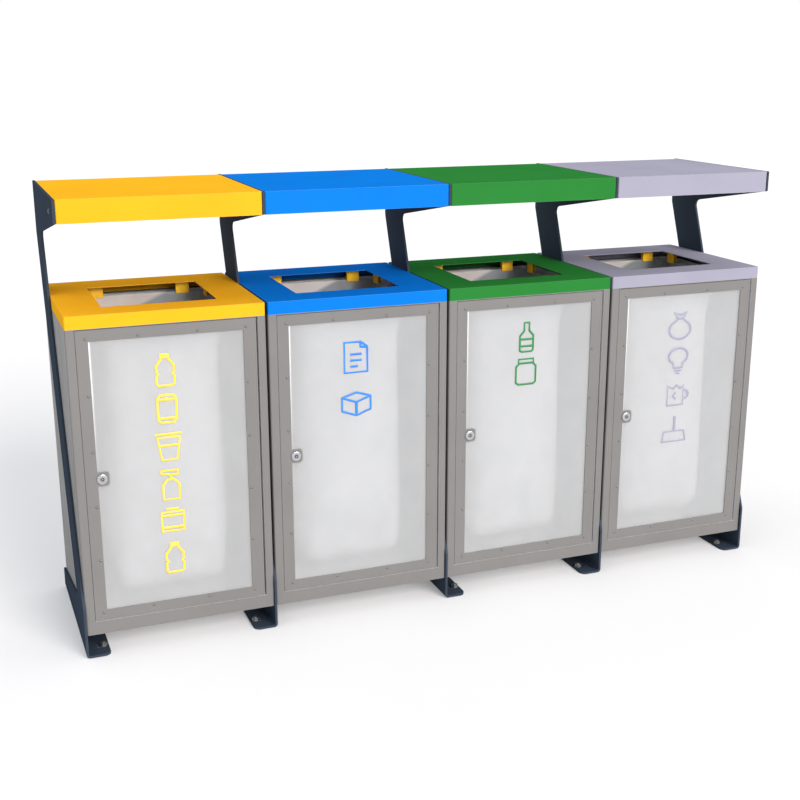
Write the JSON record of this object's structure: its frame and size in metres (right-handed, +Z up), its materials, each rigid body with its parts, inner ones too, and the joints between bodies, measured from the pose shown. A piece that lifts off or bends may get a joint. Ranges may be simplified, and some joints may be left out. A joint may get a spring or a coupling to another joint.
{
  "type": "waste sorting station",
  "caption": "Row of waste sorting bins on shared sheet-steel supports, each with a coloured lid and roof, a throw-in opening and a locking clear front door.",
  "frame": {"origin": "on the ground, under the middle of the row, midway between the supports' front and rear edges", "axes": "+X along the row to the viewer's right, -Y the side of the doors, +Z up"},
  "size_m": [2.012, 0.482, 1.172],
  "materials": {
    "casing_grey": "satin warm grey powder coat",
    "door_grey": "satin warm grey powder coat",
    "coat_yellow": "satin powder coat",
    "coat_blue": "satin powder coat",
    "coat_green": "satin powder coat",
    "coat_lavender": "satin powder coat",
    "window_clear": "clear, slightly milky polycarbonate sheet",
    "support_anthracite": "fine textured powder coat",
    "lock_chrome": "polished",
    "bolt_steel": "zinc plated",
    "ring_steel": "zinc plated",
    "clip_yellow": "moulded",
    "bag_film": "thin translucent film"
  },
  "bodies": {
    "root": {"plastic_casing": "casing_grey", "plastic_lid": "coat_yellow", "plastic_roof": "coat_yellow", "plastic_hinge_pins": "bolt_steel", "plastic_bag_ring": "ring_steel", "plastic_bag_clips": "clip_yellow", "plastic_bag": "bag_film", "paper_casing": "casing_grey", "paper_lid": "coat_blue", "paper_roof": "coat_blue", "paper_hinge_pins": "bolt_steel", "paper_bag_ring": "ring_steel", "paper_bag_clips": "clip_yellow", "paper_bag": "bag_film", "glass_casing": "casing_grey", "glass_lid": "coat_green", "glass_roof": "coat_green", "glass_hinge_pins": "bolt_steel", "glass_bag_ring": "ring_steel", "glass_bag_clips": "clip_yellow", "glass_bag": "bag_film", "mixed_casing": "casing_grey", "mixed_lid": "coat_lavender", "mixed_roof": "coat_lavender", "mixed_hinge_pins": "bolt_steel", "mixed_bag_ring": "ring_steel", "mixed_bag_clips": "clip_yellow", "mixed_bag": "bag_film", "support_1": "support_anthracite", "support_2": "support_anthracite", "support_3": "support_anthracite", "support_4": "support_anthracite", "support_5": "support_anthracite", "anchor_bolts": "bolt_steel", "roof_bolts": "bolt_steel", "casing_bolts": "bolt_steel"},
    "plastic_door": {"plastic_door_frame": "door_grey", "plastic_window": "window_clear", "plastic_window_screws": "bolt_steel", "plastic_lock_body": "lock_chrome"},
    "plastic_lock": {"plastic_lock_plug": "lock_chrome", "plastic_lock_cam": "bolt_steel"},
    "paper_door": {"paper_door_frame": "door_grey", "paper_window": "window_clear", "paper_window_screws": "bolt_steel", "paper_lock_body": "lock_chrome"},
    "paper_lock": {"paper_lock_plug": "lock_chrome", "paper_lock_cam": "bolt_steel"},
    "glass_door": {"glass_door_frame": "door_grey", "glass_window": "window_clear", "glass_window_screws": "bolt_steel", "glass_lock_body": "lock_chrome"},
    "glass_lock": {"glass_lock_plug": "lock_chrome", "glass_lock_cam": "bolt_steel"},
    "mixed_door": {"mixed_door_frame": "door_grey", "mixed_window": "window_clear", "mixed_window_screws": "bolt_steel", "mixed_lock_body": "lock_chrome"},
    "mixed_lock": {"mixed_lock_plug": "lock_chrome", "mixed_lock_cam": "bolt_steel"}
  },
  "joints": [
    {"name": "plastic_door_swing", "type": "hinge", "parent": "root", "child": "plastic_door", "pos_m": [-0.5353, -0.228, 0.48], "axis": [0, 0, 1], "range_deg": [0, 105]},
    {"name": "plastic_lock_turn", "type": "hinge", "parent": "plastic_door", "child": "plastic_lock", "pos_m": [-0.9322, -0.2135, 0.478], "axis": [0, -1, 0], "range_deg": [-40, 50]},
    {"name": "paper_door_swing", "type": "hinge", "parent": "root", "child": "paper_door", "pos_m": [-0.0353, -0.228, 0.48], "axis": [0, 0, 1], "range_deg": [0, 105]},
    {"name": "paper_lock_turn", "type": "hinge", "parent": "paper_door", "child": "paper_lock", "pos_m": [-0.4322, -0.2135, 0.478], "axis": [0, -1, 0], "range_deg": [-40, 50]},
    {"name": "glass_door_swing", "type": "hinge", "parent": "root", "child": "glass_door", "pos_m": [0.4647, -0.228, 0.48], "axis": [0, 0, 1], "range_deg": [0, 105]},
    {"name": "glass_lock_turn", "type": "hinge", "parent": "glass_door", "child": "glass_lock", "pos_m": [0.0678, -0.2135, 0.478], "axis": [0, -1, 0], "range_deg": [-40, 50]},
    {"name": "mixed_door_swing", "type": "hinge", "parent": "root", "child": "mixed_door", "pos_m": [0.9647, -0.228, 0.48], "axis": [0, 0, 1], "range_deg": [0, 105]},
    {"name": "mixed_lock_turn", "type": "hinge", "parent": "mixed_door", "child": "mixed_lock", "pos_m": [0.5678, -0.2135, 0.478], "axis": [0, -1, 0], "range_deg": [-40, 50]}
  ]
}
